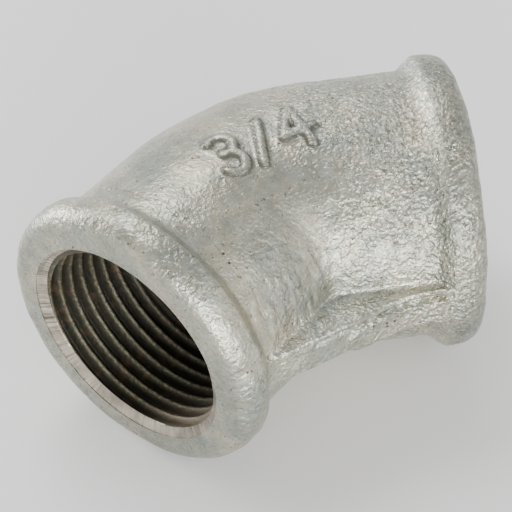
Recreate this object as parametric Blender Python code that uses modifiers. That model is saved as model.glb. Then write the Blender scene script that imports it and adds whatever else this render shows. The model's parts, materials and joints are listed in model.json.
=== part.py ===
"""A 45 degree pipe elbow, size 3/4, in galvanised malleable iron: one casting with two tapped ports.

Units are metres and +Z is up.  The elbow lies on its side: the axes of its two ports meet in the
level plane z = BEAD_RADIUS, both ports open towards -Y, one on each side of x = 0, and the outside
of the bend faces +Y.  The origin is under the middle of the elbow, on the surface that it rests on.
"""

import math

import bmesh
import bpy
from mathutils import Matrix, Vector

MM = 0.001

# Driving dimensions
BEND_ANGLE = math.radians(45)  # the change of direction of the flow
CENTRE_TO_FACE = 25 * MM  # from where the port axes meet to each port's face
BODY_RADIUS = 16.25 * MM
BEAD_RADIUS = 17.9 * MM  # the thick collar round each port
BEAD_WIDTH = 5.1 * MM
BEND_RADIUS = 18 * MM  # of the bend's centre line
BEAD_EDGE = 2.8 * MM  # the rounding of the collar's edge, along the port's axis
BEAD_EDGE_DROP = 2.5 * MM  # how far that rounding comes in from the collar's radius
BEAD_FILLET = 2.4 * MM  # the hollow sweep from the body up to the collar, along the axis

# The port's parallel pipe thread, 3/4 inch: 14 turns to the inch, 55 degree Whitworth form
THREAD_PITCH = 25.4 * MM / 14
THREAD_MINOR_RADIUS = 24.117 * MM / 2
THREAD_MAJOR_RADIUS = 26.441 * MM / 2
THREAD_LENGTH = 15 * MM  # tapped depth, measured from the port's face
THREAD_FLANK_ANGLE = math.radians(27.5)  # between a flank and a plane across the axis
MOUTH_RADIUS = 13.42 * MM  # the countersink, at the face
MOUTH_DEPTH = 0.7 * MM  # where the countersink dies out at the thread's minor radius
THREAD_TRIM_TURNS = 2  # turns of the screw that are cut away below the thread
WATERWAY_RADIUS = 12.5 * MM  # the cast bore between the two threads
WATERWAY_OVERLAP = 0.6 * MM  # how far the cast bore runs into each thread

# The rib along the mould's parting plane, on the inside of the bend, and the web in its corner
RIB_HALF_THICKNESS = 2.5 * MM
RIB_DROP = 0.3 * MM  # how far the rib's middle is below the port axes: the mould's halves don't meet true
RIB_HEIGHTS = {-1: 0.5 * MM, 1: 1.3 * MM}  # proud of the body, on the front leg and on the rear leg
RIB_END_GAP = 3 * MM  # between the rib's ends, which are buried in the collars, and the ports' faces
RIB_FOOT_DEPTH = 2 * MM  # how deep the rib is rooted in the body
WEB_REACH = 22.2 * MM  # from where the port axes meet to the web's straight edge
RIB_ROUNDING = 0.8 * MM

# How finely round shapes are divided
SKIN_SIDES = 56
BEND_STEPS = 8
ROUNDING_STEPS = 4
THREAD_STEPS = 36  # in each turn
BORE_SIDES = 48

HALF_BEND = BEND_ANGLE / 2
TANGENT_LENGTH = BEND_RADIUS * math.tan(HALF_BEND)
OVERRUN = 2 * MM  # how far a cutter runs out past the face that it opens
CLOSING_DISTANCE = 0.00001  # joins a curve's loose caps to its side, and one turn to the next
FLAT_ANGLE = math.radians(0.5)  # faces that meet at less than this are one flat face


def port_direction(side):
    """The way out of a port: side is -1 for the port at -X and 1 for the port at +X."""
    return Vector((side * math.cos(HALF_BEND), -math.sin(HALF_BEND), 0))


def port_matrix(side):
    """Turns an upright shape so that its +Z points out of the port, from where the axes meet."""
    across = Vector((0, 0, 1))
    outward = port_direction(side)
    sideways = outward.cross(across)
    turn = Matrix((across, sideways, outward)).transposed().to_4x4()
    return Matrix.Translation((0, 0, BEAD_RADIUS)) @ turn


def new_collection(name):
    collection = bpy.data.collections.new(name)
    bpy.context.scene.collection.children.link(collection)
    return collection


def mesh_object(name, bm, collection):
    mesh = bpy.data.meshes.new(name)
    bmesh.ops.recalc_face_normals(bm, faces=bm.faces)
    bm.to_mesh(mesh)
    bm.free()
    ob = bpy.data.objects.new(name, mesh)
    collection.objects.link(ob)
    return ob


def as_cutter(ob):
    ob.hide_render = True
    ob.display_type = "WIRE"


def evaluated_bmesh(ob):
    """The object's shape with its modifiers or its curve's bevel, and its loose seams closed."""
    bpy.context.view_layer.update()
    mesh = bpy.data.meshes.new_from_object(ob.evaluated_get(bpy.context.evaluated_depsgraph_get()))
    bm = bmesh.new()
    bm.from_mesh(mesh)
    bpy.data.meshes.remove(mesh)
    bmesh.ops.remove_doubles(bm, verts=bm.verts, dist=CLOSING_DISTANCE)
    return bm


def solid_from_curve(name, curve, height, collection):
    """Turns a curve into a closed mesh object of its own, standing at the height given."""
    guide = bpy.data.objects.new(name + "_guide", curve)
    guide.location.z = height
    collection.objects.link(guide)
    bm = evaluated_bmesh(guide)
    bmesh.ops.dissolve_limit(bm, angle_limit=FLAT_ANGLE, verts=bm.verts, edges=bm.edges)
    solid = mesh_object(name, bm, collection)
    solid.matrix_world = guide.matrix_world
    bpy.data.objects.remove(guide)
    return solid


def swept_tube(name, stations, sides, collection):
    """A solid tube through (point, radius) stations, all in the plane of the bend."""
    curve = bpy.data.curves.new(name, "CURVE")
    curve.dimensions = "3D"
    curve.fill_mode = "FULL"
    curve.bevel_depth = 1
    curve.bevel_resolution = (sides - 4) // 2
    curve.use_fill_caps = True
    spline = curve.splines.new("POLY")
    spline.points.add(len(stations) - 1)
    for spline_point, (place, radius) in zip(spline.points, stations):
        spline_point.co = (place.x, place.y, 0, 1)
        spline_point.radius = radius
    return solid_from_curve(name, curve, BEAD_RADIUS, collection)


def leg_profile():
    """(distance along the port axis, radius) from the end of the bend out to the port's face."""
    bead_start = CENTRE_TO_FACE - BEAD_WIDTH
    edge_start = CENTRE_TO_FACE - BEAD_EDGE
    rise = BEAD_RADIUS - BODY_RADIUS
    profile = [(TANGENT_LENGTH, BODY_RADIUS)]
    for step in range(ROUNDING_STEPS + 1):
        share = step / ROUNDING_STEPS
        blend = (1 - math.cos(math.pi * share)) / 2
        profile.append((bead_start - BEAD_FILLET / 2 + BEAD_FILLET * share, BODY_RADIUS + rise * blend))
    for step in range(ROUNDING_STEPS + 1):
        angle = math.pi / 2 * step / ROUNDING_STEPS
        along = edge_start + BEAD_EDGE * math.sin(angle)
        profile.append((along, BEAD_RADIUS - BEAD_EDGE_DROP * (1 - math.cos(angle))))
    return profile


def bend_point(angle):
    """A point of the centre line's arc: angle runs from -HALF_BEND to HALF_BEND."""
    arc_centre = Vector((0, -BEND_RADIUS / math.cos(HALF_BEND), 0))
    return arc_centre + BEND_RADIUS * Vector((math.sin(angle), math.cos(angle), 0))


def skin_stations():
    """The whole outer skin, from the face of one port round the bend to the face of the other."""
    legs = []
    for side in (-1, 1):
        outward = port_direction(side)
        legs.append([(outward * along, radius) for along, radius in leg_profile()])
    bend = []
    for step in range(1, BEND_STEPS):
        angle = -HALF_BEND + BEND_ANGLE * step / BEND_STEPS
        bend.append((bend_point(angle), BODY_RADIUS))
    return legs[0][::-1] + bend + legs[1]


def rib_outline():
    """The rib and web in plan: along the inside of each leg, and straight across the corner."""
    foot = BODY_RADIUS - RIB_FOOT_DEPTH
    rib_end = CENTRE_TO_FACE - RIB_END_GAP
    outline = []
    for side in (-1, 1):
        outward = port_direction(side)
        inward = Vector((-side * math.sin(HALF_BEND), -math.cos(HALF_BEND), 0))
        crest = BODY_RADIUS + RIB_HEIGHTS[side]
        corner_depth = WEB_REACH - crest / math.cos(HALF_BEND)
        web_end = corner_depth / math.sin(HALF_BEND) + crest * math.tan(HALF_BEND)
        edge = [
            outward * rib_end + inward * foot,
            outward * rib_end + inward * crest,
            outward * web_end + inward * crest,
        ]
        outline += edge if side < 0 else edge[::-1]
    outline.append(Vector((0, -foot / math.cos(HALF_BEND), 0)))
    return outline


def make_rib(collection):
    curve = bpy.data.curves.new("rib", "CURVE")
    curve.dimensions = "2D"
    curve.fill_mode = "BOTH"
    curve.extrude = RIB_HALF_THICKNESS
    outline = rib_outline()
    spline = curve.splines.new("POLY")
    spline.points.add(len(outline) - 1)
    spline.use_cyclic_u = True
    for spline_point, place in zip(spline.points, outline):
        spline_point.co = (place.x, place.y, 0, 1)
    rib = solid_from_curve("rib", curve, BEAD_RADIUS - RIB_DROP, collection)
    rounding = rib.modifiers.new("rounded_edges", "BEVEL")
    rounding.width = RIB_ROUNDING
    rounding.segments = 2
    return rib


def threaded_plug(name, side, collection):
    """The space inside a port's thread: a turned screw, cut off square at both ends.

    The profile runs from the top of its turn down to the bottom, which keeps the screw's faces outward.
    """
    depth = THREAD_MAJOR_RADIUS - THREAD_MINOR_RADIUS
    flank = depth * math.tan(THREAD_FLANK_ANGLE)
    flat = (THREAD_PITCH - 2 * flank) / 2
    low = THREAD_PITCH * THREAD_TRIM_TURNS
    high = low + THREAD_LENGTH + OVERRUN
    profile = [
        (THREAD_MINOR_RADIUS, 0),
        (THREAD_MINOR_RADIUS, flat),
        (THREAD_MAJOR_RADIUS, flat + flank),
        (THREAD_MAJOR_RADIUS, 2 * flat + flank),
        (THREAD_MINOR_RADIUS, THREAD_PITCH),
    ]
    bm = bmesh.new()
    points = []
    for radius, height in reversed(profile):
        points.append(bm.verts.new((radius, 0, height)))
    for first, second in zip(points, points[1:]):
        bm.edges.new((first, second))
    plug = mesh_object(name, bm, collection)
    screw = plug.modifiers.new("turns", "SCREW")
    screw.iterations = math.ceil(high / THREAD_PITCH) + 1
    screw.screw_offset = THREAD_PITCH
    screw.steps = THREAD_STEPS
    screw.render_steps = THREAD_STEPS
    screw.use_merge_vertices = True
    screw.merge_threshold = CLOSING_DISTANCE
    bm = evaluated_bmesh(plug)
    plug.modifiers.clear()
    for height, outward in ((low, -1), (high, 1)):
        everything = list(bm.verts) + list(bm.edges) + list(bm.faces)
        cut = bmesh.ops.bisect_plane(
            bm, geom=everything, plane_co=(0, 0, height), plane_no=(0, 0, outward), clear_outer=True
        )
        rim = [item for item in cut["geom_cut"] if isinstance(item, bmesh.types.BMEdge)]
        bmesh.ops.contextual_create(bm, geom=rim)
    bmesh.ops.translate(bm, verts=bm.verts, vec=(0, 0, CENTRE_TO_FACE - THREAD_LENGTH - low))
    bmesh.ops.transform(bm, matrix=port_matrix(side), verts=bm.verts)
    bmesh.ops.recalc_face_normals(bm, faces=bm.faces)
    bm.to_mesh(plug.data)
    bm.free()
    return plug


def mouth_cone(name, side, collection):
    """The countersink, as a cone that runs on past the port's face."""
    slope = (MOUTH_RADIUS - THREAD_MINOR_RADIUS) / MOUTH_DEPTH
    height = MOUTH_DEPTH + OVERRUN
    middle = CENTRE_TO_FACE - MOUTH_DEPTH + height / 2
    bm = bmesh.new()
    bmesh.ops.create_cone(
        bm,
        cap_ends=True,
        segments=BORE_SIDES,
        radius1=THREAD_MINOR_RADIUS,
        radius2=THREAD_MINOR_RADIUS + slope * height,
        depth=height,
        matrix=port_matrix(side) @ Matrix.Translation((0, 0, middle)),
    )
    return mesh_object(name, bm, collection)


def waterway_stations():
    """The cast bore's centre line, which runs a little way into each threaded stretch."""
    end = CENTRE_TO_FACE - THREAD_LENGTH + WATERWAY_OVERLAP
    stations = [(port_direction(-1) * end, WATERWAY_RADIUS)]
    for step in range(BEND_STEPS + 1):
        angle = -HALF_BEND + BEND_ANGLE * step / BEND_STEPS
        stations.append((bend_point(angle), WATERWAY_RADIUS))
    stations.append((port_direction(1) * end, WATERWAY_RADIUS))
    return stations


def boolean(ob, other, operation):
    modifier = ob.modifiers.new(other.name, "BOOLEAN")
    modifier.operation = operation
    modifier.solver = "EXACT"
    modifier.object = other


def zinc_material():
    material = bpy.data.materials.new("galvanised_iron")
    material.use_nodes = True
    shader = material.node_tree.nodes["Principled BSDF"]
    shader.inputs["Base Color"].default_value = (0.42, 0.43, 0.42, 1)
    shader.inputs["Metallic"].default_value = 0.75
    shader.inputs["Roughness"].default_value = 0.5
    return material


def shift_to_middle(ob):
    """How far along Y the object has to slide for the origin to be under its middle."""
    bpy.context.view_layer.update()
    mesh = ob.evaluated_get(bpy.context.evaluated_depsgraph_get()).data
    across = [vertex.co.y for vertex in mesh.vertices]
    return -(min(across) + max(across)) / 2


def main():
    for ob in list(bpy.data.objects):
        bpy.data.objects.remove(ob)
    parts = new_collection("pipe_elbow")
    tools = new_collection("cutters")
    casting = swept_tube("elbow_casting", skin_stations(), SKIN_SIDES, parts)
    rib = make_rib(tools)
    waterway = swept_tube("waterway", waterway_stations(), BORE_SIDES, tools)
    boolean(casting, rib, "UNION")
    boolean(casting, waterway, "DIFFERENCE")
    helpers = [rib, waterway]
    for side, port in ((-1, "front"), (1, "rear")):
        plug = threaded_plug(port + "_thread", side, tools)
        cone = mouth_cone(port + "_mouth", side, tools)
        boolean(casting, plug, "DIFFERENCE")
        boolean(casting, cone, "DIFFERENCE")
        helpers += [plug, cone]
    for helper in helpers:
        as_cutter(helper)
    casting.data.shade_smooth()
    casting.data.set_sharp_from_angle(angle=math.radians(35))
    casting.data.materials.append(zinc_material())
    shift = shift_to_middle(casting)
    for ob in [casting] + helpers:
        ob.location.y += shift


main()
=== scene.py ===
"""Looks of the 45 degree pipe elbow: a rough hot-dip galvanised casting with two tapped ports.

The whole elbow is one closed mesh, worked out as rings of points: over the cast skin from the front
port's face to the rear port's, in through the rear thread, round the waterway and out through the
front thread.  Its lengths are millimetres, measured from the point where the axes of the two ports
meet, until the mesh is written in metres.  Colours are linear red, green and blue.
"""

import json
import math
from dataclasses import dataclass

import bpy
import numpy as np
from mathutils import Matrix, Vector, noise


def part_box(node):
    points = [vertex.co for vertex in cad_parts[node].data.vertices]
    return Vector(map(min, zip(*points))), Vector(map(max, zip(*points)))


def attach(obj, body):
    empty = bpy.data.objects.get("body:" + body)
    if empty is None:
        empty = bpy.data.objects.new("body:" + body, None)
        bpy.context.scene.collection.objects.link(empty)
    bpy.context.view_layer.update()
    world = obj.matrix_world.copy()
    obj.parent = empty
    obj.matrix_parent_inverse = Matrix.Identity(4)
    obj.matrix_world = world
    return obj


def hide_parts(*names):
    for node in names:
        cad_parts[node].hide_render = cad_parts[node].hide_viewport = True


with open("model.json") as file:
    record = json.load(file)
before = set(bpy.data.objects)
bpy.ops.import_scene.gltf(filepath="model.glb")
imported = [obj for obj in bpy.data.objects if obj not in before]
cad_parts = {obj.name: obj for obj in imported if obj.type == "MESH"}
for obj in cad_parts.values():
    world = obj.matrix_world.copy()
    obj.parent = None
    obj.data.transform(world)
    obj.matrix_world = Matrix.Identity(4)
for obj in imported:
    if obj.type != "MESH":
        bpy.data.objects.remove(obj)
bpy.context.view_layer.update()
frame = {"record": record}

MM = 0.001

# Where the axes meet, and the way out of each port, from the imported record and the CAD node's box
MOUNTS = {mount["name"]: mount for mount in frame["record"]["mounts"]}
REAR_FACE = MOUNTS["rear_port_face"]
HALF_BEND = math.atan2(-REAR_FACE["axis"][1], REAR_FACE["axis"][0])
SIN_HALF, COS_HALF = math.sin(HALF_BEND), math.cos(HALF_BEND)
CENTRE_TO_FACE = REAR_FACE["pos_m"][0] / COS_HALF / MM
CAD_LOW, CAD_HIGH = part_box("elbow_casting")
BEAD_RADIUS = (CAD_HIGH[2] - CAD_LOW[2]) / 2 / MM
MEETING_POINT = Vector((0, REAR_FACE["pos_m"][1] + CENTRE_TO_FACE * MM * SIN_HALF, BEAD_RADIUS * MM))

# The casting, as in the CAD model
BODY_RADIUS = 16.25
BEAD_WIDTH = 5.1
BEAD_START = CENTRE_TO_FACE - BEAD_WIDTH
BEND_RADIUS = 18.0
BEAD_EDGE = 2.8
BEAD_EDGE_DROP = 2.5
BEAD_FILLET = 2.4
TANGENT_LENGTH = BEND_RADIUS * math.tan(HALF_BEND)
RIB_HALF_THICKNESS = 2.5
RIB_DROP = 0.3  # how far the rib's middle is below the port axes
FRONT_RIB_CREST = BODY_RADIUS + 0.35
REAR_RIB_CREST = BODY_RADIUS + 1.3
WEB_REACH = 22.2
WEB_END = 17.2  # along the front port's axis
RIB_END = CENTRE_TO_FACE - 3.0  # along each port's axis
RIB_BACK = -9.0  # the rib stops here, inside the body
WEB_CORNER_ROUNDING, RIB_OUTLINE_ROUNDING, RIB_EDGE_ROUNDING = 0.6, 0.8, 0.7
RIB_FILLET = 0.45

# The cast skin's unevenness, which the CAD model leaves out
WAVE_HEIGHT = 0.12
FRONT_PEEL_HEIGHT, REAR_PEEL_HEIGHT = 0.05, 0.07
FRONT_GRAIN_HEIGHT, REAR_GRAIN_HEIGHT = 0.015, 0.05
RUN_HEIGHT = 0.24  # of the zinc's wrinkles in the crotch
PAD_START = 1.0  # the pad on the front of the web runs from this x towards the rear port
PAD_MIDDLE = -0.9  # how high its middle is
PAD_HALF_WIDTH = 1.6
PAD_RISE = 0.45
GROOVE_START = -5.0  # the groove above the pad runs from this x
GROOVE_HEIGHT = 1.15
GROOVE_DEPTH = 0.3
PAD_SLOPE = 0.35  # the width of the pad's and the groove's sloping sides
LIP_WIDTH = 0.9
LIP_RISE = 0.55
NOISE_DIMENSION, NOISE_LACUNARITY = 0.9, 2.1

# Where the zinc's painted shade and painted highlight sit, measured from the start of a bead
NECK_BEFORE_BEAD = 1.1  # the hollow beside the bead, darkened with painted shade
SHOULDER_PAST_BEAD = 0.3

# The bore
THREAD_PITCH = 25.4 / 14
THREAD_MINOR_RADIUS = 24.117 / 2
THREAD_MAJOR_RADIUS = 26.441 / 2
THREAD_LENGTH = 15.0
THREAD_RUNOUT = 2.2  # the last stretch, where the groove gets shallower
THREAD_START = math.radians(-21)
THREAD_FLATNESS = 0.03  # how much its crests and roots are flatter than a sine's
MOUTH_RADIUS = 13.42
MOUTH_STEP = 0.12  # the zinc's broken edge, before the cone
MOUTH_DEPTH = 0.75
MOUTH_ROUNDING = 0.05
MOUTH_ROWS = 6
WATERWAY_RADIUS = 12.4
WATERWAY_GAP = 0.6  # along the axis, between the last rings of a thread and of the waterway
WATERWAY_ROUGHNESS = 0.12

# The raised size mark on top of the bend
MARK_CENTRE = (-0.6, -3.7)
MARK_HEIGHT = 6.0
MARK_STROKE = 1.15
MARK_DRAFT = 0.4  # the width of a stroke's sloping side
MARK_RISE = 0.5

# The mesh
SKIN_COLUMNS = 288
COLUMN_CROWDING = 0.5  # columns stand closer together by this much inside the bend
FAN_START = 17.0  # beyond this distance along a port's axis, sections are square to it
FAN_ROWS = 118
SEARCH_LOW, SEARCH_HIGH = 6.0, 30.0  # the skin lies between these distances from a section's centre
SEARCH_STEPS = 30
LEG_ROW_STEP = 0.27
EDGE_ROWS = 15
THREAD_ROW_STEP = 0.125
WATERWAY_ROW_STEP = 0.8
WATERWAY_BEND_ROWS = 15
FACE_SHARES = (0.25, 0.5)  # how far in from the bead's edge the first rings of a port's face are
LAST_FACE_SHARE, LAST_FACE_SKIN = 0.85, 0.8
SHARP_ANGLE = math.radians(50)
SKIN_INSET = 0.13  # keeps the roughest skin inside the CAD model's box

ZINC, MACHINED, THREAD, WATERWAY = range(4)


def smooth_step(x):
    """0 up to 0, 1 from 1 on, and smooth between them."""
    x = np.clip(x, 0, 1)
    return x * x * (3 - 2 * x)


def fade(x, zero_at, one_at):
    """0 where x is at or before zero_at, 1 where it is at or past one_at, and smooth between them."""
    return smooth_step((x - zero_at) / (one_at - zero_at))


def smooth_min(a, b, reach):
    """The lower of two fields, rounded where they cross."""
    near = np.clip(0.5 + 0.5 * (b - a) / reach, 0, 1)
    return b + (a - b) * near - reach * near * (1 - near)


def smooth_max(a, b, reach):
    """The higher of two fields, rounded where they cross."""
    return -smooth_min(-a, -b, reach)


def fractal(points, wavelength, octaves, seed):
    """Smooth noise of about -1 to 1 at each point; its coarsest bumps are a wavelength across."""
    flat = points.reshape(-1, 3) / wavelength + seed
    values = [
        noise.fractal(Vector(place), NOISE_DIMENSION, NOISE_LACUNARITY, octaves)
        for place in flat.tolist()
    ]
    return np.array(values).reshape(points.shape[:-1])


# ---------------------------------------------------------------- the cast skin


def leg_coordinates(points, side):
    """Distance along a port's axis, and distance from it towards the inside of the bend."""
    x, y = points[..., 0], points[..., 1]
    along = side * COS_HALF * x - SIN_HALF * y
    inward = -side * SIN_HALF * x - COS_HALF * y
    return along, inward


def skin_profile(along):
    """The skin's radius at a distance along a port's axis: body, fillet, bead, rounded edge."""
    rise = fade(along, BEAD_START - BEAD_FILLET / 2, BEAD_START + BEAD_FILLET / 2)
    edge = np.clip((along - CENTRE_TO_FACE + BEAD_EDGE) / BEAD_EDGE, 0, 1)
    drop = BEAD_EDGE_DROP * (1 - np.sqrt(1 - edge * edge))
    return BODY_RADIUS + (BEAD_RADIUS - BODY_RADIUS) * rise - drop


def body_distance(points):
    """How far points are outside the body and beads: a tube along the bend's centre line."""
    x = points[..., 0]
    from_arc_y = points[..., 1] + BEND_RADIUS / COS_HALF
    along, inward = leg_coordinates(points, np.where(x < 0, -1.0, 1.0))
    in_bend = np.abs(np.arctan2(x, from_arc_y)) < HALF_BEND
    in_plane = np.where(in_bend, np.hypot(x, from_arc_y) - BEND_RADIUS, -inward)
    return np.hypot(in_plane, points[..., 2]) - skin_profile(along)


def rib_outline_distance(points):
    """How far points are outside the rib and web's outline, in the plane of the bend."""
    front_along, front_inward = leg_coordinates(points, -1)
    rear_along, rear_inward = leg_coordinates(points, 1)
    web = smooth_max(-points[..., 1] - WEB_REACH, front_along - WEB_END, WEB_CORNER_ROUNDING)
    front = np.maximum(front_inward - FRONT_RIB_CREST, front_along - RIB_END)
    rear = np.maximum(rear_inward - REAR_RIB_CREST, rear_along - RIB_END)
    outline = smooth_min(np.minimum(front, rear), web, RIB_OUTLINE_ROUNDING)
    return np.maximum(outline, points[..., 1] - RIB_BACK)


def rib_distance(points):
    """How far points are outside the rib along the parting plane and the web across its corner."""
    off_plane = np.abs(points[..., 2] + RIB_DROP) - RIB_HALF_THICKNESS
    return smooth_max(rib_outline_distance(points), off_plane, RIB_EDGE_ROUNDING)


def skin_field(points):
    """How far points are outside the whole casting."""
    return smooth_min(body_distance(points), rib_distance(points), RIB_FILLET)


def ring_turns(every=1):
    """Angles round a ring: from straight up, over towards the outside of the bend."""
    even = 2 * math.pi * np.arange(0, SKIN_COLUMNS, every) / SKIN_COLUMNS
    return even - COLUMN_CROWDING * np.cos(even)


def ring_rays(outwards, turns):
    """Directions at these angles, round each of the rings."""
    up = np.array([0, 0, 1.0])
    return np.cos(turns)[None, :, None] * up + np.sin(turns)[None, :, None] * outwards[:, None]


def skin_sections():
    """The centre of each section of the skin, and its outward direction in the plane of the bend.

    Near each port the sections are square to its axis.  Between them they fan round the line where
    the planes of the last square ones meet, so that they never cross inside the bend.
    """
    leg_rows = np.concatenate([
        np.arange(FAN_START, CENTRE_TO_FACE - BEAD_EDGE, LEG_ROW_STEP),
        CENTRE_TO_FACE - BEAD_EDGE + BEAD_EDGE * np.sin(np.linspace(0, math.pi / 2, EDGE_ROWS)),
    ])
    rear_leg = leg_rows[:, None] * np.array([COS_HALF, -SIN_HALF, 0])
    front_leg = (rear_leg * np.array([-1, 1, 1]))[::-1]
    angles = np.linspace(-HALF_BEND, HALF_BEND, FAN_ROWS + 1)[1:-1]
    fan_outwards = np.stack([np.sin(angles), np.cos(angles), 0 * angles], axis=-1)
    pivot = np.array([0, -FAN_START / SIN_HALF, 0])
    fan_centres = pivot + fan_outwards * FAN_START / SIN_HALF
    front_outwards = np.tile([-SIN_HALF, COS_HALF, 0], (len(leg_rows), 1))
    rear_outwards = np.tile([SIN_HALF, COS_HALF, 0], (len(leg_rows), 1))
    centres = np.concatenate([front_leg, fan_centres, rear_leg])
    outwards = np.concatenate([front_outwards, fan_outwards, rear_outwards])
    return centres, outwards


def skin_points():
    """The skin's points, one ring for each section, found by halving along each ray."""
    centres, outwards = skin_sections()
    rays = ring_rays(outwards, ring_turns())
    low = np.full(rays.shape[:2], SEARCH_LOW)
    high = np.full(rays.shape[:2], SEARCH_HIGH)
    for _ in range(SEARCH_STEPS):
        middle = (low + high) / 2
        outside = skin_field(centres[:, None] + rays * middle[..., None]) > 0
        high = np.where(outside, middle, high)
        low = np.where(outside, low, middle)
    return centres[:, None] + rays * middle[..., None]


def rib_marks(points):
    """Where the pad on the front of the web is, and the groove above it: 1 on each, 0 off it."""
    x, z = points[..., 0], points[..., 2]
    on_rib = fade(rib_distance(points), 0.5, 0) * fade(body_distance(points), 0, 0.6)
    wander = 0.25 * fractal(points, 3.5, 2, seed=8.8)
    from_pad = np.hypot(np.maximum(PAD_START - x, 0), z - PAD_MIDDLE + wander)
    pad = fade(from_pad, PAD_HALF_WIDTH + PAD_SLOPE, PAD_HALF_WIDTH)
    from_groove = np.hypot(np.maximum(GROOVE_START - x, 0), z - GROOVE_HEIGHT + wander)
    groove = fade(from_groove, PAD_SLOPE, 0)
    return on_rib * pad, on_rib * groove


def rib_relief(points):
    """The pad, the groove and the lip along the rib's upper edge, in millimetres."""
    pad, groove = rib_marks(points)
    below_edge = points[..., 2] + RIB_DROP - RIB_HALF_THICKNESS
    from_edge = np.hypot(rib_outline_distance(points), below_edge)
    lip = fade(from_edge, LIP_WIDTH, 0) * fade(points[..., 0], -3, 1)
    lip *= fade(body_distance(points), 0, 0.5)
    return PAD_RISE * pad - GROOVE_DEPTH * groove + LIP_RISE * lip


def in_crotch(points):
    """Where the zinc ran down and set in wrinkles: the front leg, close above the web."""
    x, y, z = points[..., 0], points[..., 1], points[..., 2]
    across = fade(x, -17, -12) * fade(x, 1, -2)
    above_web = fade(z, 1, 3) * fade(z, 12, 7)
    return across * above_web * fade(y, -9, -13)


def skin_relief(points):
    """The casting's unevenness, in millimetres: long waves, orange peel, grain and runs of zinc."""
    rear = fade(points[..., 0], -4, 10)
    peel_height = FRONT_PEEL_HEIGHT + (REAR_PEEL_HEIGHT - FRONT_PEEL_HEIGHT) * rear
    grain_height = FRONT_GRAIN_HEIGHT + (REAR_GRAIN_HEIGHT - FRONT_GRAIN_HEIGHT) * rear
    waves = WAVE_HEIGHT * fractal(points, 9.0, 3, seed=11.3)
    peel = peel_height * fractal(points, 2.6, 2, seed=5.1)
    grain = grain_height * fractal(points, 1.1, 2, seed=2.7)
    drawn_out = points * np.array([1, 1, 0.22])
    runs = RUN_HEIGHT * in_crotch(points) * fractal(drawn_out, 1.7, 3, seed=4.2)
    return waves + peel + grain + runs + rib_relief(points)


def along_nearer_port(points):
    """Distance along the axis of the port that a point is nearer to."""
    return np.maximum(leg_coordinates(points, -1)[0], leg_coordinates(points, 1)[0])


def skin_zones(points):
    """How much a point belongs to the rear leg, a bead, a port's face and the rib: each 0 to 1."""
    along = along_nearer_port(points)
    rear = fade(points[..., 0], -2, 10)
    bead = fade(along, BEAD_START, BEAD_START + 1.5)
    face = fade(along, CENTRE_TO_FACE - 0.6, CENTRE_TO_FACE - 0.1)
    rib = fade(np.abs(rib_distance(points)), 2, 0)
    return rear, bead, face, rib


def zinc_coarseness(points):
    """How coarse the zinc is: under 0.2 on parts of the front leg, and 1.1 on parts of the rear."""
    rear, bead, face, rib = skin_zones(points)
    coarse = 0.32 + 0.75 * rear * (1 - 0.6 * bead) + 0.2 * bead + 0.3 * rib
    patches = smooth_step(0.6 + 1.2 * fractal(points, 8.0, 3, seed=6.1))
    return np.minimum(coarse, 1.1) * (1 - 0.4 * face) * (0.55 + 0.45 * patches)


def zinc_painted_shade(points):
    """How much painted shade darkens the zinc, 0 to 1: along the rib and its crease, beside the beads,
    in the groove, round the pad.
    """
    rib = skin_zones(points)[3]
    # Painted shade in the crease between the rib and the body, in the hollow beside each bead, near the
    # rib, in the groove and round the pad's edge
    crease = fade(np.hypot(body_distance(points), rib_distance(points)), 1, 0)
    neck = fade(np.abs(along_nearer_port(points) - BEAD_START + NECK_BEFORE_BEAD), 1, 0)
    pad, groove = rib_marks(points)
    lines = 0.8 * groove + 3.0 * pad * (1 - pad)
    return np.clip(0.12 * crease + 0.05 * neck + 0.05 * rib + lines, 0, 1)


def zinc_painted_light(points):
    """The zinc's painted light and shade, as a multiple of its usual brightness: lighter on the rib and
    the rear leg, a painted highlight on the rear bead's shoulder, and painted shade on the rear bead
    and the ports' faces.
    """
    rear, bead, face, rib = skin_zones(points)
    from_shoulder = np.abs(along_nearer_port(points) - BEAD_START - SHOULDER_PAST_BEAD)
    shoulder = fade(from_shoulder, 1.2, 0)
    # On the rear leg: a painted highlight along the bead's shoulder, and painted shade over the bead
    rear_painted_light = 0.08 + 0.2 * shoulder * (1 - rib) - 0.26 * bead * (1 - face)
    return 1 + 0.18 * rib - 0.14 * face + rear * rear_painted_light


# ---------------------------------------------------------------- the size mark


def straight_stroke(x, y, start, end):
    """Distance in the plane from a straight stroke's centre line."""
    dx, dy = end[0] - start[0], end[1] - start[1]
    share = np.clip(((x - start[0]) * dx + (y - start[1]) * dy) / (dx * dx + dy * dy), 0, 1)
    return np.hypot(x - start[0] - share * dx, y - start[1] - share * dy)


def round_stroke(x, y, centre, radius, middle, spread):
    """Distance from a round stroke's centre line: an arc to each side of its middle direction."""
    angle = np.arctan2(y - centre[1], x - centre[0]) - middle
    angle = (angle + math.pi) % (2 * math.pi) - math.pi
    angle = np.clip(angle, -spread, spread) + middle
    return np.hypot(x - centre[0] - radius * np.cos(angle), y - centre[1] - radius * np.sin(angle))


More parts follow.
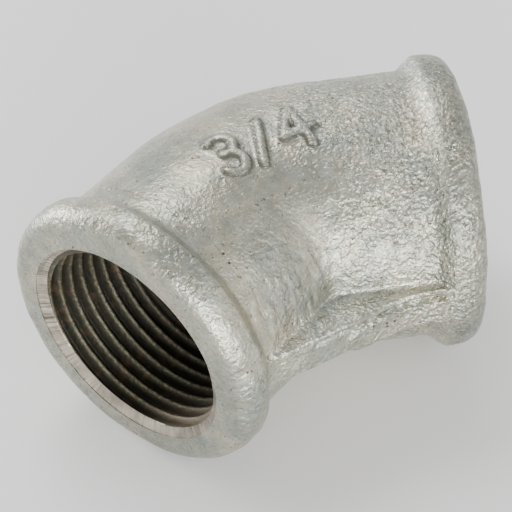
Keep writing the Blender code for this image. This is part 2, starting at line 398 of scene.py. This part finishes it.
def size_mark(points):
    """The raised size, 3/4, cast on top of the bend: 1 on its strokes and 0 off them."""
    x = points[..., 0] - MARK_CENTRE[0]
    y = points[..., 1] - MARK_CENTRE[1]
    half = MARK_HEIGHT / 2
    bowl = half / 2
    bar = -0.3 * half
    strokes = [
        round_stroke(x, y, (-4.6, bowl), bowl, math.radians(20), math.radians(125)),
        round_stroke(x, y, (-4.6, -bowl), bowl, math.radians(-20), math.radians(125)),
        straight_stroke(x, y, (-1.4, -half), (1.0, half)),
        straight_stroke(x, y, (5.0, -half), (5.0, half)),
        straight_stroke(x, y, (5.0, half), (2.4, bar)),
        straight_stroke(x, y, (2.4, bar), (6.2, bar)),
    ]
    nearest = np.minimum.reduce(strokes)
    raised = fade(nearest, (MARK_STROKE + MARK_DRAFT) / 2, (MARK_STROKE - MARK_DRAFT) / 2)
    return np.where(points[..., 2] > 0, raised, 0)


# ---------------------------------------------------------------- the bore


def thread_radius(depth, clockwise):
    """The wall of a right-hand thread, at a depth below the port's face and an angle round it."""
    phase = 2 * math.pi * depth / THREAD_PITCH - clockwise + THREAD_START
    groove = (np.sin(phase) + THREAD_FLATNESS * np.sin(3 * phase)) / (1 - THREAD_FLATNESS)
    middle = (THREAD_MAJOR_RADIUS + THREAD_MINOR_RADIUS) / 2
    half_depth = (THREAD_MAJOR_RADIUS - THREAD_MINOR_RADIUS) / 2
    cut = fade(depth, THREAD_LENGTH, THREAD_LENGTH - THREAD_RUNOUT)
    return WATERWAY_RADIUS + (middle + half_depth * groove - WATERWAY_RADIUS) * cut


@dataclass
class Ring:
    """A closed ring of points."""

    points: np.ndarray
    zone: int = ZINC
    skin: float = 1.0  # how much of the cast unevenness it takes
    depth: float = 0.0  # below the port's face
    groove: np.ndarray | float = 0.0  # 0 on the thread's crests and 1 in its grooves


def bore_rings(side):
    """Rings of one port's countersink and thread, from the face inwards."""
    depths = np.concatenate([
        [0],
        np.linspace(MOUTH_STEP, MOUTH_DEPTH, MOUTH_ROWS),
        np.arange(MOUTH_DEPTH + THREAD_ROW_STEP, THREAD_LENGTH, THREAD_ROW_STEP),
    ])
    turns = ring_turns(every=2)
    depth, turn = np.meshgrid(depths, turns, indexing="ij")
    cone_slope = (MOUTH_RADIUS - THREAD_MINOR_RADIUS) / (MOUTH_DEPTH - MOUTH_STEP)
    mouth = MOUTH_RADIUS - cone_slope * (depth - MOUTH_STEP)
    radius = smooth_max(thread_radius(depth, side * turn), mouth, MOUTH_ROUNDING)
    radius = np.minimum(radius, MOUTH_RADIUS)
    axis = np.array([side * COS_HALF, -SIN_HALF, 0])
    outwards = np.array([[side * SIN_HALF, COS_HALF, 0]])
    centres = (CENTRE_TO_FACE - SKIN_INSET - depths)[:, None, None] * axis
    points = centres + radius[..., None] * ring_rays(outwards, turns)
    groove = (radius - THREAD_MINOR_RADIUS) / (THREAD_MAJOR_RADIUS - THREAD_MINOR_RADIUS)
    rings = [Ring(points[0], ZINC, 0.0)]
    for row in range(1, len(depths)):
        zone = MACHINED if depths[row] < MOUTH_DEPTH + THREAD_ROW_STEP / 2 else THREAD
        rings.append(Ring(points[row], zone, 0.0, depths[row], groove[row]))
    return rings


def port_rings(side, edge):
    """Rings of a port from the edge of its bead inwards: its flat face, then its bore.

    The face's first rings have all the columns, and the one near the mouth every second column.
    """
    bore = bore_rings(side)
    mouth = bore[0].points
    between = (mouth + np.roll(mouth, -1, axis=0)) / 2
    fine_mouth = np.stack([mouth, between], axis=1).reshape(-1, 3)
    face = [Ring(edge + (fine_mouth - edge) * share) for share in FACE_SHARES]
    near_mouth = edge[::2] + (mouth - edge[::2]) * LAST_FACE_SHARE
    face.append(Ring(near_mouth, ZINC, LAST_FACE_SKIN))
    return face + bore


def waterway_rings():
    """Rings of the cast waterway, from the rear thread's end round to the front thread's."""
    first = CENTRE_TO_FACE - THREAD_LENGTH - WATERWAY_GAP
    straight = np.arange(first, TANGENT_LENGTH, -WATERWAY_ROW_STEP)
    rear = straight[:, None] * np.array([COS_HALF, -SIN_HALF, 0])
    front = (rear * np.array([-1, 1, 1]))[::-1]
    angles = np.linspace(HALF_BEND, -HALF_BEND, WATERWAY_BEND_ROWS)
    bend_outwards = np.stack([np.sin(angles), np.cos(angles), 0 * angles], axis=-1)
    bend = BEND_RADIUS * (bend_outwards - np.array([0, 1 / COS_HALF, 0]))
    rear_outwards = np.tile([SIN_HALF, COS_HALF, 0], (len(straight), 1))
    front_outwards = np.tile([-SIN_HALF, COS_HALF, 0], (len(straight), 1))
    centres = np.concatenate([rear, bend, front])
    outwards = np.concatenate([rear_outwards, bend_outwards, front_outwards])
    rays = ring_rays(outwards, ring_turns(every=2))
    points = centres[:, None] + WATERWAY_RADIUS * rays
    points += rays * WATERWAY_ROUGHNESS * fractal(points, 3.0, 3, seed=7.7)[..., None]
    return [Ring(ring, WATERWAY, 0.0, THREAD_LENGTH) for ring in points]


# ---------------------------------------------------------------- the mesh


def even_band(first, second):
    """Quads between two rings of as many points."""
    return [(first[j], first[j - 1], second[j - 1], second[j]) for j in range(len(first))]


def halving_band(fine, coarse):
    """Triangles from a ring to one with half as many points."""
    band = []
    for j in range(len(coarse)):
        start, middle, end = fine[2 * j - 2], fine[2 * j - 1], fine[2 * j]
        band.append((middle, start, coarse[j - 1]))
        band.append((coarse[j], middle, coarse[j - 1]))
        band.append((end, middle, coarse[j]))
    return band


def band_between(first, second):
    """Faces between two rings, of as many points or of half or twice as many."""
    if len(first) == len(second):
        return even_band(first, second)
    if len(first) > len(second):
        return halving_band(first, second)
    return [face[::-1] for face in halving_band(second, first)]


def casting_rings():
    """All the rings of the elbow, in order; the last one joins the first."""
    skin = skin_points()
    front = port_rings(-1, skin[0])
    rear = port_rings(1, skin[-1])
    return [Ring(points) for points in skin] + rear + waterway_rings() + front[::-1]


def add_attribute(mesh, name, kind, values):
    """Stores a value, or a vector, for each point of the mesh."""
    layer = mesh.attributes.new(name, kind, "POINT")
    field = "vector" if kind == "FLOAT_VECTOR" else "value"
    layer.data.foreach_set(field, np.ascontiguousarray(values, dtype=np.float32).ravel())


def sharpen_port_edges(mesh, rings, starts):
    """Marks each ring where the zinc ends as a sharp edge."""
    on_edge = np.zeros(starts[-1], bool)
    for k, ring in enumerate(rings):
        neighbours = {rings[k - 1].zone, rings[(k + 1) % len(rings)].zone}
        if ring.zone == ZINC and neighbours == {ZINC, MACHINED}:
            on_edge[starts[k]:starts[k + 1]] = True
    ends = np.empty(len(mesh.edges) * 2, np.int32)
    mesh.edges.foreach_get("vertices", ends)
    sharp = on_edge[ends.reshape(-1, 2)].all(axis=1)
    for edge in np.flatnonzero(sharp).tolist():
        mesh.edges[edge].use_edge_sharp = True


def join_rings(rings, starts):
    """The closed mesh of the rings, each face with the material of the zone it is in."""
    spans = [range(start, end) for start, end in zip(starts, starts[1:])]
    faces, zones = [], []
    for k, ring in enumerate(rings):
        band = band_between(spans[k - 1], spans[k])
        faces += band
        zones += [max(rings[k - 1].zone, ring.zone)] * len(band)
    mesh = bpy.data.meshes.new("elbow")
    mesh.from_pydata(np.concatenate([ring.points for ring in rings]), [], faces)
    mesh.polygons.foreach_set("material_index", zones)
    return mesh


def roughen(mesh, points, skin, mark):
    """Makes the cast skin uneven, raises the size mark and puts the mesh in its place, in metres.

    Returns the moved points, still in millimetres.
    """
    normals = np.empty(points.size, np.float32)
    mesh.vertex_normals.foreach_get("vector", normals)
    relief = np.zeros(len(points))
    relief[skin > 0] = skin_relief(points[skin > 0])
    rise = skin * (relief - SKIN_INSET) + MARK_RISE * mark
    points = points + normals.reshape(-1, 3) * rise[:, None]
    placed = points * MM + np.array(MEETING_POINT)
    mesh.vertices.foreach_set("co", placed.astype(np.float32).ravel())
    return points


def bore_ways(rings):
    """For each point, the cosine and sine of its angle round its ring, and its depth in the port."""
    ways = []
    for ring in rings:
        turns = ring_turns(every=SKIN_COLUMNS // len(ring.points))
        depths = np.full(len(turns), ring.depth)
        ways.append(np.stack([np.cos(turns), np.sin(turns), depths], axis=-1))
    return np.concatenate(ways)


def make_casting():
    rings = casting_rings()
    starts = np.cumsum([0] + [len(ring.points) for ring in rings]).tolist()
    mesh = join_rings(rings, starts)
    points = np.concatenate([ring.points for ring in rings])
    skin = np.concatenate([np.full(len(ring.points), ring.skin) for ring in rings])
    mark = size_mark(points) * (skin > 0)
    points = roughen(mesh, points, skin, mark)
    grooves = [np.broadcast_to(ring.groove, len(ring.points)) for ring in rings]
    add_attribute(mesh, "coarse", "FLOAT", zinc_coarseness(points))
    # Painted shade in the zinc's creases and hollows
    add_attribute(mesh, "painted_shade", "FLOAT", zinc_painted_shade(points))
    # Painted light and shade on the zinc, by region
    add_attribute(mesh, "painted_light", "FLOAT", zinc_painted_light(points))
    add_attribute(mesh, "mark", "FLOAT", mark)
    add_attribute(mesh, "groove", "FLOAT", np.concatenate(grooves))
    add_attribute(mesh, "bore_way", "FLOAT_VECTOR", bore_ways(rings))
    mesh.shade_smooth()
    mesh.set_sharp_from_angle(angle=SHARP_ANGLE)
    sharpen_port_edges(mesh, rings, starts)
    mesh.update()
    casting = bpy.data.objects.new("elbow", mesh)
    bpy.context.scene.collection.objects.link(casting)
    return casting


# ---------------------------------------------------------------- materials

COOL_ZINC, PLAIN_ZINC, WARM_ZINC = (0.315, 0.33, 0.285), (0.405, 0.405, 0.335), (0.485, 0.46, 0.362)
COOL_TINT, WARM_TINT = (0.98, 1.0, 1.02), (1.03, 0.99, 0.955)
# The colour of the zinc's grime and of its painted shade
GRIME_AND_SHADE = (0.09, 0.092, 0.075)
PLAIN_IRON = (0.35, 0.31, 0.25)
# The painted pool of light on the thread's first turns
PAINTED_LIT_IRON = (0.3, 0.245, 0.17)
RUST = (0.13, 0.07, 0.035)
DARK_CAST_IRON, LIGHT_CAST_IRON = (0.05, 0.042, 0.033), (0.13, 0.11, 0.09)
CHATTER_COLOURS = [  # each a place on a ramp and a colour
    (0.36, (0.15, 0.12, 0.09)),
    (0.46, (0.36, 0.32, 0.26)),
    (0.58, (0.47, 0.42, 0.345)),
    (0.7, (0.7, 0.64, 0.55)),
]
# The thread from crest to root: lighter on the crests, and darker into the grooves, where painted shade
# lies over the old cutting oil
OIL_AND_SHADE_COLOURS = [
    (0.0, (0.145, 0.135, 0.085)),
    (0.12, (0.06, 0.055, 0.034)),
    (0.35, (0.032, 0.029, 0.017)),
    (1.0, (0.018, 0.016, 0.009)),
]
CHATTER_STRETCH = (45, 45, 0.6)  # many marks round the port, each drawn out down the cone
CHATTER_PATCHES = (1.3, 1.3, 1.3)  # a few stretches round the port have more of them

# Heights of the bump textures, in millimetres
RIDGE_BUMP, GRAIN_BUMP, LUMP_BUMP, PIT_BUMP = 0.15, 0.2, 0.09, 0.15
IRON_BUMP, WATERWAY_BUMP = 0.12, 0.2


def new_material(name):
    material = bpy.data.materials.new(name)
    material.use_nodes = True
    return material, material.node_tree.nodes["Principled BSDF"]


def add_node(tree, kind, inputs=None, **settings):
    """A node with its settings, and its inputs set or linked."""
    made = tree.nodes.new(kind)
    for name, value in settings.items():
        setattr(made, name, value)
    for name, value in (inputs or {}).items():
        if isinstance(value, bpy.types.NodeSocket):
            tree.links.new(value, made.inputs[name])
        else:
            made.inputs[name].default_value = value
    return made


def attribute(tree, name, output="Fac"):
    return add_node(tree, "ShaderNodeAttribute", attribute_name=name).outputs[output]


def stretched(tree, vector, factors):
    """A vector with each of its three values multiplied by a factor."""
    inputs = {0: vector, 1: factors}
    return add_node(tree, "ShaderNodeVectorMath", inputs, operation="MULTIPLY").outputs[0]


def millimetres(tree):
    """The object's own coordinates, in millimetres."""
    place = add_node(tree, "ShaderNodeTexCoord").outputs["Object"]
    return stretched(tree, place, (1 / MM,) * 3)


def noise_at(tree, place, scale, detail=3.0, roughness=0.55):
    inputs = {"Vector": place, "Scale": scale, "Detail": detail, "Roughness": roughness}
    return add_node(tree, "ShaderNodeTexNoise", inputs).outputs["Fac"]


def ramp(tree, value, stops):
    """A colour ramp through (position, colour) stops."""
    made = add_node(tree, "ShaderNodeValToRGB", {"Fac": value})
    elements = made.color_ramp.elements
    while len(elements) < len(stops):
        elements.new(1.0)
    for element, (position, colour) in zip(elements, stops):
        element.position = position
        element.color = (*colour, 1)
    return made.outputs["Color"]


def span(tree, value, start, to=(0.0, 1.0)):
    """A value, moved from its place in one range to the same place in another; it stops at the ends."""
    ranges = {"From Min": start[0], "From Max": start[1], "To Min": to[0], "To Max": to[1]}
    return add_node(tree, "ShaderNodeMapRange", {"Value": value, **ranges}).outputs["Result"]


def maths(tree, operation, a, b):
    return add_node(tree, "ShaderNodeMath", {0: a, 1: b}, operation=operation).outputs[0]


def from_middle(tree, value):
    """How far a noise is from its middle value: nothing along winding lines."""
    above = maths(tree, "SUBTRACT", value, 0.5)
    return add_node(tree, "ShaderNodeMath", {0: above}, operation="ABSOLUTE").outputs[0]


def mixed(tree, share, a, b, blend="MIX"):
    """Colour a, with a share of colour b; each is a colour or a socket."""
    first, second = [(*colour, 1) if isinstance(colour, tuple) else colour for colour in (a, b)]
    inputs = {0: share, 6: first, 7: second}
    return add_node(tree, "ShaderNodeMix", inputs, data_type="RGBA", blend_type=blend).outputs[2]


def shaded(tree, colour, by):
    """A colour multiplied by another colour, or by a brightness."""
    return mixed(tree, 1.0, colour, by, "MULTIPLY")


def bumped(tree, height, distance):
    """Normals of a relief: a height of 1 stands this many millimetres proud."""
    inputs = {"Height": height, "Distance": distance * MM}
    return add_node(tree, "ShaderNodeBump", inputs).outputs["Normal"]


def zinc_pits(tree, place, painted_shade):
    """Pinholes in clusters, and more of them where the zinc has painted shade: 1 in each, 0 outside."""
    cells = add_node(tree, "ShaderNodeTexVoronoi", {"Vector": place, "Scale": 1.1}).outputs["Distance"]
    more_in_painted_shade = maths(tree, "MULTIPLY", painted_shade, 0.14)
    clusters = maths(tree, "ADD", noise_at(tree, place, 0.25, detail=2), more_in_painted_shade)
    pit_size = span(tree, clusters, (0.5, 0.75), to=(0.0, 0.24))
    return span(tree, maths(tree, "SUBTRACT", pit_size, cells), (0.0, 0.08))


def clean_zinc(tree, place, fine, coarse):
    """The clean coat's colour: blotches, smudges, warm and cool tints, and grain, with painted light
    and shade by region.
    """
    blotches = noise_at(tree, place, 0.13, detail=4)
    tone = ramp(tree, blotches, [(0.35, COOL_ZINC), (0.52, PLAIN_ZINC), (0.68, WARM_ZINC)])
    cloudy = noise_at(tree, place, 0.6, detail=5, roughness=0.65)
    smudges = span(tree, cloudy, (0.3, 0.7), to=(0.78, 1.17))
    warmth = span(tree, noise_at(tree, place, 0.5, detail=3), (0.4, 0.6))
    tint = mixed(tree, warmth, COOL_TINT, WARM_TINT)
    contrast = maths(tree, "MULTIPLY", coarse, 0.5)
    grain = maths(tree, "MULTIPLY", span(tree, fine, (0.3, 0.7), to=(-1.0, 1.0)), contrast)
    # The grain, plus painted light and shade by region: lighter on the rib, the rear leg and the rear
    # bead's shoulder, darker on the rear bead and the ports' faces
    brightness = maths(tree, "ADD", grain, attribute(tree, "painted_light"))
    return shaded(tree, shaded(tree, shaded(tree, tone, smudges), tint), brightness)


def grime_and_shade_share(tree, place, lumps, pits, painted_shade):
    """How much the zinc is darkened: painted shade with some grime round the size mark, painted shade
    in its creases and hollows, and grime in its pits and in flecks.
    """
    mark = attribute(tree, "mark")
    # Painted shade with some grime along the sloping sides of the size mark's letters
    mark_edges = maths(tree, "MULTIPLY", mark, maths(tree, "SUBTRACT", 1.0, mark))
    mark_grime_and_shade = span(tree, mark_edges, (0.02, 0.2), to=(0.0, 0.75))
    # Painted shade from the creases and hollows, broken up by the lumps
    patchy_painted_shade = maths(tree, "MULTIPLY", painted_shade, span(tree, lumps, (0.35, 0.6), to=(0.0, 0.45)))
    winding = from_middle(tree, noise_at(tree, place, 1.6, detail=2))
    scratches = span(tree, winding, (0.02, 0.045), to=(0.8, 0.0))
    patches = span(tree, noise_at(tree, place, 1.2, detail=3, roughness=0.6), (0.56, 0.62))
    flecks = maths(tree, "MULTIPLY", scratches, patches)
    grime_and_shade = maths(tree, "MAXIMUM", mark_grime_and_shade, patchy_painted_shade)
    grime_and_shade = maths(tree, "MAXIMUM", grime_and_shade, pits)
    return maths(tree, "MAXIMUM", grime_and_shade, flecks)


def zinc_height(tree, place, fine, lumps, pits, coarse):
    """The coat's fine relief, in millimetres: grain and winding ridges, lumps, and pits."""
    winding = from_middle(tree, noise_at(tree, place, 0.9, detail=2, roughness=0.5))
    ridges = maths(tree, "MULTIPLY", span(tree, winding, (0.0, 0.16), to=(1.0, 0.0)), RIDGE_BUMP)
    texture = maths(tree, "ADD", maths(tree, "MULTIPLY", fine, GRAIN_BUMP), ridges)
    height = maths(tree, "MULTIPLY", texture, coarse)
    height = maths(tree, "ADD", height, maths(tree, "MULTIPLY", lumps, LUMP_BUMP))
    return maths(tree, "SUBTRACT", height, maths(tree, "MULTIPLY", pits, PIT_BUMP))


def zinc_roughness(tree, place, fine, coarse):
    """How matt the coat is: less where it is coarse, and on the tops of its grain."""
    dull = span(tree, noise_at(tree, place, 0.9, detail=4), (0.3, 0.7), to=(0.24, 0.4))
    dull = maths(tree, "ADD", dull, span(tree, coarse, (0.3, 0.9), to=(0.06, 0.0)))
    return maths(tree, "SUBTRACT", dull, span(tree, fine, (0.45, 0.7), to=(0.0, 0.12)))


def zinc_material():
    """A hot-dip zinc coat: mottled, grainy, coarser on the rear leg, with painted shade in its creases
    and hollows, dark pits, and painted light and shade by region.
    """
    material, shader = new_material("galvanised_zinc")
    tree = material.node_tree
    place = millimetres(tree)
    coarse = attribute(tree, "coarse")
    painted_shade = attribute(tree, "painted_shade")
    fine = noise_at(tree, place, 2.4, detail=3, roughness=0.6)
    lumps = noise_at(tree, place, 0.6, detail=4, roughness=0.5)
    pits = zinc_pits(tree, place, painted_shade)
    grime_and_shade = grime_and_shade_share(tree, place, lumps, pits, painted_shade)
    colour = mixed(tree, grime_and_shade, clean_zinc(tree, place, fine, coarse), GRIME_AND_SHADE)
    height = zinc_height(tree, place, fine, lumps, pits, coarse)
    tree.links.new(colour, shader.inputs["Base Color"])
    shader.inputs["Metallic"].default_value = 0.85
    tree.links.new(zinc_roughness(tree, place, fine, coarse), shader.inputs["Roughness"])
    tree.links.new(bumped(tree, height, 1.0), shader.inputs["Normal"])
    return material


def machined_material():
    """Bare iron turned by a chattering countersink: fine lines down the cone."""
    material, shader = new_material("machined_iron")
    tree = material.node_tree
    way = attribute(tree, "bore_way", "Vector")
    lines = noise_at(tree, stretched(tree, way, CHATTER_STRETCH), 1.0, detail=3, roughness=0.7)
    patches = noise_at(tree, stretched(tree, way, CHATTER_PATCHES), 1.0, detail=2)
    chatter = span(tree, patches, (0.4, 0.6), to=(0.15, 1.0))
    colour = mixed(tree, chatter, PLAIN_IRON, ramp(tree, lines, CHATTER_COLOURS))
    blotches = noise_at(tree, millimetres(tree), 0.3, detail=4)
    stains = span(tree, blotches, (0.35, 0.65), to=(0.5, 1.15))
    tree.links.new(shaded(tree, colour, stains), shader.inputs["Base Color"])
    shader.inputs["Metallic"].default_value = 0.8
    shader.inputs["Roughness"].default_value = 0.36
    tree.links.new(bumped(tree, lines, IRON_BUMP), shader.inputs["Normal"])
    return material


def thread_material():
    """Cut iron with old cutting oil on it: painted shade over the oil in the grooves, and a painted
    pool of light near the mouth.
    """
    material, shader = new_material("cut_thread")
    tree = material.node_tree
    place = millimetres(tree)
    rough = noise_at(tree, place, 2.0, detail=4, roughness=0.7)
    uneven = span(tree, rough, (0.3, 0.7), to=(0.25, -0.2))
    in_groove = maths(tree, "ADD", attribute(tree, "groove"), uneven)
    colour = ramp(tree, in_groove, OIL_AND_SHADE_COLOURS)
    way = add_node(tree, "ShaderNodeSeparateXYZ", {"Vector": attribute(tree, "bore_way", "Vector")})
    near_mouth = span(tree, way.outputs["Z"], (1.0, 7.0), to=(0.75, 0.0))
    inside_bend = span(tree, way.outputs["Y"], (-0.7, 0.1), to=(1.0, 0.0))
    # A painted pool of light over the first turns, on the side towards the inside of the bend
    painted_light_patch = maths(tree, "MULTIPLY", near_mouth, inside_bend)
    colour = mixed(tree, painted_light_patch, colour, PAINTED_LIT_IRON)
    rusty = span(tree, noise_at(tree, place, 0.45, detail=4), (0.56, 0.7), to=(0.0, 0.5))
    tree.links.new(mixed(tree, rusty, colour, RUST), shader.inputs["Base Color"])
    shader.inputs["Metallic"].default_value = 0.45
    tree.links.new(span(tree, rough, (0.3, 0.7), to=(0.35, 0.6)), shader.inputs["Roughness"])
    tree.links.new(bumped(tree, rough, IRON_BUMP), shader.inputs["Normal"])
    return material


def waterway_material():
    """Cast iron as it left the mould: dark, rough and dull."""
    material, shader = new_material("cast_waterway")
    tree = material.node_tree
    rough = noise_at(tree, millimetres(tree), 0.9, detail=5, roughness=0.65)
    colour = ramp(tree, rough, [(0.3, DARK_CAST_IRON), (0.7, LIGHT_CAST_IRON)])
    tree.links.new(colour, shader.inputs["Base Color"])
    shader.inputs["Metallic"].default_value = 0.3
    shader.inputs["Roughness"].default_value = 0.65
    tree.links.new(bumped(tree, rough, WATERWAY_BUMP), shader.inputs["Normal"])
    return material


# ---------------------------------------------------------------- studio

# Azimuths and elevations are degrees: azimuth 0 is in front, and 90 to the right
CAMERA_AZIMUTH = -27.09
CAMERA_ELEVATION = 44.21
CAMERA_ROLL = -3.99
CAMERA_AIM = (-0.14, -4.06)  # right and up of the meeting point, in millimetres
CAMERA_DISTANCE = 218.55  # millimetres
CAMERA_LENS, CAMERA_SENSOR = 126.6715, 36  # focal length and sensor width, in millimetres
CAMERA_CLIP = 0.01  # metres

LIGHT_DISTANCE = 0.5  # metres, from the meeting point
LIGHTS = {  # azimuth, elevation, diameter in metres, power in watts
    "key_left": (-30, 10, 0.28, 2.0),
    "key_right": (0, 10, 0.28, 1.4),
    "back_left": (-150, 10, 0.28, 2.4),
    "back_top": (180, 60, 0.28, 1.25),
    "back_right": (153, 44, 0.2, 0.25),
    "right_fill": (30, 33, 0.28, 0.4),
}
HORIZON_LIGHT, OVERHEAD_LIGHT = 1.8, 0.7
OVERHEAD_HEIGHT = 0.5  # the sine of the elevation above which the light is even

FLOOR_REACH = 3.0  # metres
FLOOR_DROP = 0.05  # millimetres below the CAD model's lowest point
FLOOR_COLOUR = (0.83, 0.83, 0.83, 1)


def direction(azimuth, elevation):
    """The way from the object to somewhere at this azimuth and elevation."""
    azimuth, elevation = math.radians(azimuth), math.radians(elevation)
    return Vector((
        math.sin(azimuth) * math.cos(elevation),
        -math.cos(azimuth) * math.cos(elevation),
        math.sin(elevation),
    ))


def make_camera():
    back = direction(CAMERA_AZIMUTH, CAMERA_ELEVATION)
    level = Vector((0, 0, 1)).cross(back).normalized()
    upright = back.cross(level)
    roll = math.radians(CAMERA_ROLL)
    right = math.cos(roll) * level + math.sin(roll) * upright
    up = back.cross(right)
    data = bpy.data.cameras.new("camera")
    data.sensor_width = CAMERA_SENSOR
    data.lens = CAMERA_LENS
    data.clip_start = CAMERA_CLIP
    camera = bpy.data.objects.new("camera", data)
    offset = CAMERA_AIM[0] * right + CAMERA_AIM[1] * up + CAMERA_DISTANCE * back
    turned = Matrix((right, up, back)).transposed().to_4x4()
    camera.matrix_world = Matrix.Translation(MEETING_POINT + offset * MM) @ turned
    bpy.context.scene.collection.objects.link(camera)
    bpy.context.scene.camera = camera


def add_light(name, azimuth, elevation, diameter, power):
    """A round lamp that faces the object."""
    towards = direction(azimuth, elevation)
    data = bpy.data.lights.new(name, "AREA")
    data.shape = "DISK"
    data.size = diameter
    data.energy = power
    light = bpy.data.objects.new(name, data)
    light.location = MEETING_POINT + towards * LIGHT_DISTANCE
    light.rotation_mode = "QUATERNION"
    light.rotation_quaternion = towards.to_track_quat("Z", "Y")
    bpy.context.scene.collection.objects.link(light)


def make_world():
    """White light from all round, brightest along the horizon."""
    world = bpy.data.worlds.new("studio")
    world.use_nodes = True
    tree = world.node_tree
    towards = add_node(tree, "ShaderNodeTexCoord").outputs["Generated"]
    height = add_node(tree, "ShaderNodeSeparateXYZ", {"Vector": towards}).outputs["Z"]
    strength = span(tree, height, (0, OVERHEAD_HEIGHT), to=(HORIZON_LIGHT, OVERHEAD_LIGHT))
    background = tree.nodes["Background"]
    background.inputs["Color"].default_value = (1, 1, 1, 1)
    tree.links.new(strength, background.inputs["Strength"])
    bpy.context.scene.world = world


def make_floor():
    mesh = bpy.data.meshes.new("floor")
    corners = [Vector((x, y, 0)) * FLOOR_REACH for x, y in ((-1, -1), (1, -1), (1, 1), (-1, 1))]
    mesh.from_pydata(corners, [], [(0, 1, 2, 3)])
    floor = bpy.data.objects.new("floor", mesh)
    floor.location.z = -FLOOR_DROP * MM
    material, shader = new_material("pale_floor")
    shader.inputs["Base Color"].default_value = FLOOR_COLOUR
    shader.inputs["Roughness"].default_value = 0.8
    mesh.materials.append(material)
    bpy.context.scene.collection.objects.link(floor)


def main():
    make_camera()
    casting = make_casting()
    for material in (zinc_material(), machined_material(), thread_material(), waterway_material()):
        casting.data.materials.append(material)
    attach(casting, "root")
    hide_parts("elbow_casting")
    make_world()
    for name, settings in LIGHTS.items():
        add_light(name, *settings)
    make_floor()
    bpy.context.view_layer.update()


main()
